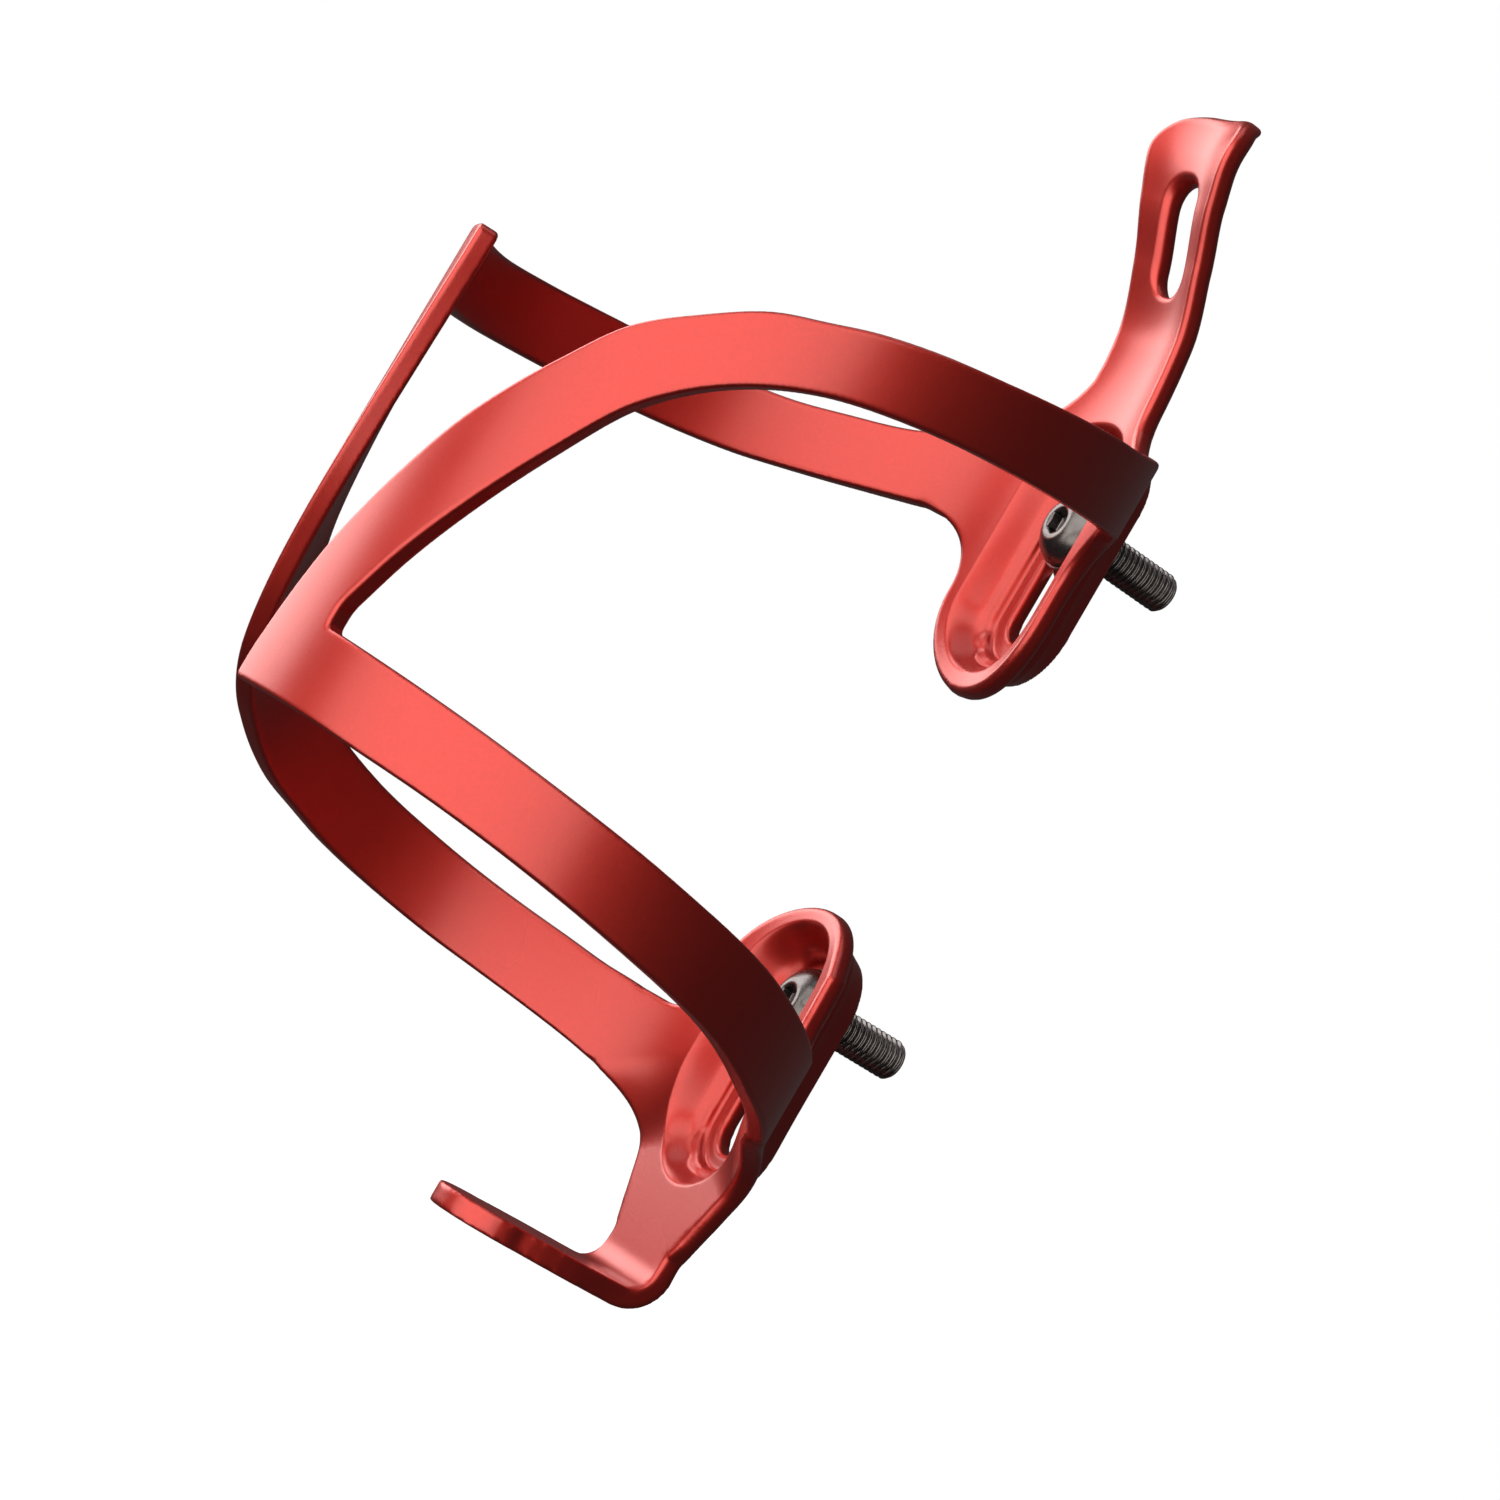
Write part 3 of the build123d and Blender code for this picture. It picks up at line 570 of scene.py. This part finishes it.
def socket_rings(top, theta):
    """Hexagonal socket, from the cone at its floor out to the flat top of the head."""
    sixth = math.pi / 3
    hexagon = SOCKET_HALF / np.cos((theta + sixth / 2) % sixth - sixth / 2)
    hexagon = np.minimum(hexagon, SOCKET_HALF * 1.13)
    mouth = np.maximum(hexagon, SOCKET_HALF * 1.05) * 1.02
    floor_y = top + SOCKET_DEPTH
    return [(0.25, floor_y + 0.28), (hexagon * 0.55, floor_y + 0.16),
            (hexagon * 0.93, floor_y + 0.02), (hexagon * 0.985, floor_y - 0.03),
            (hexagon, floor_y - 0.12), (hexagon, top + 0.9), (hexagon, top + 0.34),
            (hexagon, top + 0.24), (mouth, top + 0.14), (SOCKET_HALF * 1.2, top + 0.05),
            (SOCKET_HALF * 1.27, top + 0.01), (SOCKET_HALF * 1.36, top)]


def head_rings(top, seat, head_r):
    """Domed flank, an arc through the top edge, the shoulder and the rim; then the seat."""
    marks = np.array([[2.5, top], [head_r - 0.82, seat - 1.80], [head_r, seat - RIM_HEIGHT]])
    centre_r, centre_y = centre = np.linalg.solve(
        2 * (marks[1:] - marks[0]), (marks[1:] ** 2).sum(1) - (marks[0] ** 2).sum())
    radius = math.hypot(*(marks[0] - centre))
    start, end = (math.atan2(mark[1] - centre_y, mark[0] - centre_r)
                  for mark in (marks[0], marks[2]))
    dome = [(centre_r + radius * math.cos(a) - 0.02, centre_y + radius * math.sin(a) + 0.02)
            for a in np.linspace(start, end, 14)]
    return [(2.3, top + 0.005), *dome,
            (head_r - 0.01, seat - 0.34), (head_r - 0.01, seat - 0.12),
            (head_r - 0.06, seat - 0.03), (head_r - 0.16, seat), (head_r - 0.5, seat),
            (NECK_R + 0.22, seat), (NECK_R + 0.06, seat + 0.02), (NECK_R, seat + 0.12),
            (NECK_R, -0.02), (NECK_R + 0.02, 0.0)]


def thread_rings(end, theta):
    rings = []
    step = THREAD_PITCH / 12
    for y in np.arange(THREAD_START_Y, end - 0.001, step):
        run = y - THREAD_START_Y
        phase = (run / THREAD_PITCH - theta / (2 * math.pi)) % 1.0
        ridge = 1 - np.abs(phase * 2 - 1)
        tooth = np.clip((ridge - 0.13) / 0.72, 0, 1)
        grow = min(1.0, 0.25 + run / THREAD_RUN_IN)
        lead = min(1.0, max(0.0, (end - y) / THREAD_LEAD))
        radius = SHANK_R - THREAD_CUT * grow * (1 - tooth)
        rings.append((np.minimum(radius, SHANK_R - 0.45 * (1 - lead)), y))
    return rings + [(SHANK_R - 0.55, end), (SHANK_R - 1.2, end)]


def fit(piece, node, body):
    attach(piece, body)
    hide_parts(node)


def bolt(node):
    lo, hi = box_mm(node)
    top, end = lo.y, hi.y
    theta = circle(BOLT_SEGMENTS)
    rings = (socket_rings(top, theta) + head_rings(top, top + HEAD_HEIGHT, (hi.x - lo.x) / 2)
             + thread_rings(end, theta))
    piece = turned_body(node + "_turned", rings, BOLT_SEGMENTS, (lo.z + hi.z) / 2,
                        cap_ys=(top + SOCKET_DEPTH + 0.4, end))
    fit(piece, node, node)
    return piece


def arc(centre_r, centre_y, radius, start, end):
    return [(centre_r + radius * math.cos(math.radians(a)),
             centre_y + radius * math.sin(math.radians(a))) for a in np.linspace(start, end, 6)]


def flat_ring(node, body, rim_break):
    """Washer or spacer: a flat ring with rounded edges."""
    lo, hi = box_mm(node)
    rim, hole = (hi.x - lo.x) / 2 - rim_break, RING_HOLE_R + HOLE_BREAK
    flat_out, flat_in = rim - 0.2, RING_HOLE_R + 0.12
    rings = (arc(rim, lo.y + rim_break, rim_break, 0, -90)
             + [(radius, lo.y) for radius in np.linspace(flat_out, flat_in, 7)]
             + arc(hole, lo.y + HOLE_BREAK, HOLE_BREAK, 270, 180)
             + arc(hole, hi.y - HOLE_BREAK, HOLE_BREAK, 180, 90)
             + [(radius, hi.y) for radius in np.linspace(flat_in, flat_out, 7)]
             + arc(rim, hi.y - rim_break, rim_break, 90, 0))
    piece = turned_body(node + "_turned", rings, RING_SEGMENTS, (lo.z + hi.z) / 2)
    fit(piece, node, body)
    return piece


# ------------------------------------------------------------------- materials
class Shader:
    """Node tree of a material or world. Inputs take a socket, a number or an RGB tuple."""

    def __init__(self, owner, output="OutputMaterial"):
        owner.use_nodes = True
        self.tree = owner.node_tree
        self.tree.nodes.clear()
        self.output = self.node(output)

    def fill(self, node, inputs):
        for key, value in inputs.items():
            if isinstance(value, bpy.types.NodeSocket):
                self.tree.links.new(value, node.inputs[key])
            else:
                is_colour = isinstance(value, tuple)
                node.inputs[key].default_value = (*value, 1.0) if is_colour else value

    def node(self, kind, inputs=None, **settings):
        node = self.tree.nodes.new("ShaderNode" + kind)
        for key, value in settings.items():
            setattr(node, key, value)
        self.fill(node, inputs or {})
        return node

    def show(self, surface):
        self.fill(self.output, {0: surface.outputs[0]})

    def noise(self, vector, scale, detail, roughness):
        return self.node("TexNoise", {"Vector": vector, "Scale": scale, "Detail": detail,
                                      "Roughness": roughness}).outputs["Fac"]

    def remap(self, value, span, to, clamp=True):
        return self.node("MapRange", {
            "Value": value, "From Min": span[0], "From Max": span[1],
            "To Min": to[0], "To Max": to[1]}, clamp=clamp).outputs["Result"]

    def maths(self, operation, *values):
        return self.node("Math", dict(enumerate(values)), operation=operation).outputs[0]

    def mix(self, factor, first, second):
        return self.node("Mix", {"Factor": factor, 6: first, 7: second},
                         data_type="RGBA").outputs[2]

    def bump(self, height, strength, distance):
        return self.node("Bump", {"Height": height, "Strength": strength,
                                  "Distance": distance}).outputs["Normal"]


def metal(name):
    material = bpy.data.materials.new(name)
    shader = Shader(material)
    surface = shader.node("BsdfPrincipled", {"Metallic": 1.0})
    shader.show(surface)
    place = shader.node("TexCoord").outputs["Object"]
    return material, shader, surface, place


def anodised():
    """Red dyed oxide over bead-blasted aluminium, with wear and a painted highlight on the
    broken edges.
    """
    red_low, red_high = (0.505, 0.0150, 0.0075), (0.56, 0.0200, 0.0105)
    # the paler edge red is partly wear and partly a painted highlight on the edges
    speck_red, worn_and_highlit_red = (0.40, 0.0105, 0.008), (0.72, 0.075, 0.06)
    material, shader, surface, place = metal("anodised_red")
    noise, remap, maths, mix = shader.noise, shader.remap, shader.maths, shader.mix
    edge = shader.node("Attribute", attribute_name="edge_break").outputs["Fac"]
    cloud = noise(place, scale=42.0, detail=3.0, roughness=0.55)
    speck = noise(place, scale=2600.0, detail=2.0, roughness=0.6)
    base = mix(remap(cloud, span=(0.3, 0.7), to=(0.0, 1.0)), red_low, red_high)
    base = mix(remap(speck, span=(0.25, 0.75), to=(0.0, 0.28)), base, speck_red)
    # broken edges are patchily paler, partly wear and partly a painted edge highlight, and
    # smoother
    edge_wear_and_highlight = maths("MULTIPLY", remap(edge, span=(0.35, 0.95), to=(0.0, 1.0)),
                 remap(noise(place, scale=260.0, detail=3.0, roughness=0.6),
                       span=(0.35, 0.7), to=(0.25, 1.0)))
    edge_highlight_share, polish = 0.22, 0.06
    base = mix(maths("MULTIPLY", edge_wear_and_highlight, edge_highlight_share), base, worn_and_highlit_red)
    rough = maths("ADD", remap(cloud, span=(0.3, 0.7), to=(0.455, 0.495)),
                  remap(speck, span=(0.3, 0.7), to=(-0.02, 0.03), clamp=False))
    rough = maths("SUBTRACT", rough, maths("MULTIPLY", edge_wear_and_highlight, polish))
    coat_rough = remap(cloud, span=(0.3, 0.7), to=(0.265, 0.305))
    grain = noise(place, scale=3300.0, detail=1.5, roughness=0.5)
    pits = noise(place, scale=900.0, detail=2.0, roughness=0.55)
    grain_share, pit_share = 0.6, 0.55
    height = maths("ADD", maths("MULTIPLY", grain, grain_share),
                   maths("MULTIPLY", pits, pit_share))
    shader.fill(surface, {
        "Base Color": base, "Roughness": rough, "Coat Weight": 0.92, "Coat IOR": 1.62,
        "Coat Roughness": coat_rough,
        "Normal": shader.bump(height, strength=0.30, distance=0.00006)})
    return material


def steel(name, colour, rough, ring_pitch, centre_z):
    """Turned and lightly polished stainless steel, rings about a bolt axis (metres)."""
    material, shader, surface, place = metal(name)
    remap, maths = shader.remap, shader.maths
    x, y, z = shader.node("SeparateXYZ", {0: place}).outputs
    z = maths("SUBTRACT", z, centre_z)
    radius = maths("SQRT", maths("ADD", maths("MULTIPLY", x, x), maths("MULTIPLY", z, z)))
    rings = shader.node("CombineXYZ", {0: maths("MULTIPLY", radius, 1.0 / ring_pitch),
                                       1: maths("MULTIPLY", y, 1.0 / ring_pitch)}).outputs[0]
    turned = shader.noise(rings, scale=1.0, detail=2.0, roughness=0.6)
    smear = shader.noise(place, scale=700.0, detail=3.0, roughness=0.6)
    darker = tuple(c * 0.82 for c in colour)
    base = shader.mix(remap(smear, span=(0.3, 0.7), to=(0.0, 1.0)), colour, darker)
    roughness = maths("ADD", remap(smear, span=(0.3, 0.7), to=(rough - 0.03, rough + 0.05)),
                      remap(turned, span=(0.3, 0.7), to=(-0.02, 0.03)))
    shader.fill(surface, {
        "Base Color": base, "Roughness": roughness,
        "Normal": shader.bump(turned, strength=0.35, distance=0.00003)})
    return material


# --------------------------------------------------------------------- pieces
def finish_steel(piece, node, centre_z, colour, rough, ring_pitch):
    piece.data.materials.append(steel(node + "_steel", colour, rough, ring_pitch, centre_z))


def centre_height(node):
    lo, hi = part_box(node)
    return (lo.z + hi.z) / 2


shell = build_cage()
shell.data.materials.append(anodised())
fit(shell, "cage_body", "cage")

for level in ("upper", "lower"):
    bolt_node, washer_node = level + "_bolt", level + "_washer"
    axis_z = centre_height(bolt_node)
    # the bolts' steel colour is darker than bare steel: painted shade standing in for the shade
    # and dark reflections on their heads
    finish_steel(bolt(bolt_node), bolt_node, axis_z,
                 colour=(0.17, 0.155, 0.155), rough=0.26, ring_pitch=0.00011)
    finish_steel(flat_ring(washer_node, level + "_stack", rim_break=0.12), washer_node, axis_z,
                 colour=(0.32, 0.32, 0.33), rough=0.28, ring_pitch=0.00009)
spacer_z = centre_height("upper_spacer")
finish_steel(flat_ring("upper_spacer", "upper_stack", rim_break=0.2), "upper_spacer", spacer_z,
             colour=(0.8, 0.8, 0.81), rough=0.22, ring_pitch=0.0001)

# ----------------------------------------------------------------------- stage
FLOOR_Z, FLOOR_HALF = -0.0728, 6
WHITE = (1.0, 1.0, 1.0)
floor = new_object("floor", [(x * FLOOR_HALF, y * FLOOR_HALF, FLOOR_Z) for x, y in
                             ((-1, -1), (1, -1), (1, 1), (-1, 1))], [(0, 1, 2, 3)], smooth=False)
floor_material = bpy.data.materials.new("floor")
shader = Shader(floor_material)
diffuse = shader.node("BsdfDiffuse", {"Color": (0.20, 0.20, 0.20)})
glow = shader.node("Emission", {"Color": WHITE, "Strength": 1.0})
shader.show(shader.node("AddShader", {0: diffuse.outputs[0], 1: glow.outputs[0]}))
floor.data.materials.append(floor_material)
for ray in ("glossy", "shadow", "diffuse", "transmission"):
    setattr(floor, "visible_" + ray, False)

# ---------------------------------------------------------------------- lights
TARGET = Vector((0.0, -0.044, -0.0024))


def softbox(name, azimuth, elevation, distance, width, height, radiance, colour=(1, 1, 1)):
    """Rectangular soft light aimed at the target; azimuth is in degrees from +X."""
    light = bpy.data.lights.new(name, "AREA")
    light.shape = "RECTANGLE"
    light.size, light.size_y = width, height
    light.energy = radiance * math.pi * width * height
    light.color = colour
    lamp = bpy.data.objects.new(name, light)
    scene.collection.objects.link(lamp)
    turn, rise = math.radians(azimuth), math.radians(elevation)
    away = Vector((math.cos(turn) * math.cos(rise), math.sin(turn) * math.cos(rise),
                   math.sin(rise)))
    lamp.location = TARGET + away * distance
    lamp.rotation_mode = "QUATERNION"
    lamp.rotation_quaternion = away.to_track_quat("Z", "Y")
    lamp.visible_camera = False


softbox("key", azimuth=-57, elevation=8, distance=1.2, width=2.6, height=2.2,
        radiance=2.12, colour=(1.0, 0.98, 0.90))
softbox("side", azimuth=-149, elevation=22, distance=1.2, width=0.98, height=1.1,
        radiance=3.5, colour=(1.0, 0.98, 0.95))
softbox("top", azimuth=-80, elevation=80, distance=1.3, width=1.0, height=1.0, radiance=1.0)

# The world is white to the camera and dim to everything else.
world = bpy.data.worlds.new("world")
scene.world = world
shader = Shader(world, "OutputWorld")
dim = shader.node("Background", {0: (0.05, 0.05, 0.05)})
white = shader.node("Background", {0: WHITE})
is_camera = shader.node("LightPath").outputs["Is Camera Ray"]
shader.show(shader.node("MixShader", {0: is_camera, 1: dim.outputs[0], 2: white.outputs[0]}))

scene.view_settings.view_transform = "Standard"
scene.view_settings.look = "None"
scene.view_settings.exposure = 0.0
scene.view_settings.gamma = 1.0

# ---------------------------------------------------------------------- camera
# Turn from world axes to view axes (x right, y down, z ahead): axis times radians.
VIEW_TURN = (1.04854899, 1.09406348, -0.44391769)
CAMERA_PLACE = (0.446358, -0.262458, -0.046251)


def turn_matrix(turn):
    angle = np.linalg.norm(turn)
    x, y, z = np.array(turn) / angle
    cross = np.array([[0, -z, y], [z, 0, -x], [-y, x, 0]])
    return np.eye(3) + math.sin(angle) * cross + (1 - math.cos(angle)) * cross @ cross


camera_data = bpy.data.cameras.new("camera")
camera = bpy.data.objects.new("camera", camera_data)
scene.collection.objects.link(camera)
axes = turn_matrix(VIEW_TURN).T @ np.diag([1.0, -1.0, -1.0])
pose = Matrix([[float(value) for value in row] for row in axes]).to_4x4()
pose.translation = Vector(CAMERA_PLACE)
camera.matrix_world = pose
camera_data.sensor_width = 36.0
camera_data.lens = 106.582
camera_data.clip_start, camera_data.clip_end = 0.01, 50.0
scene.camera = camera
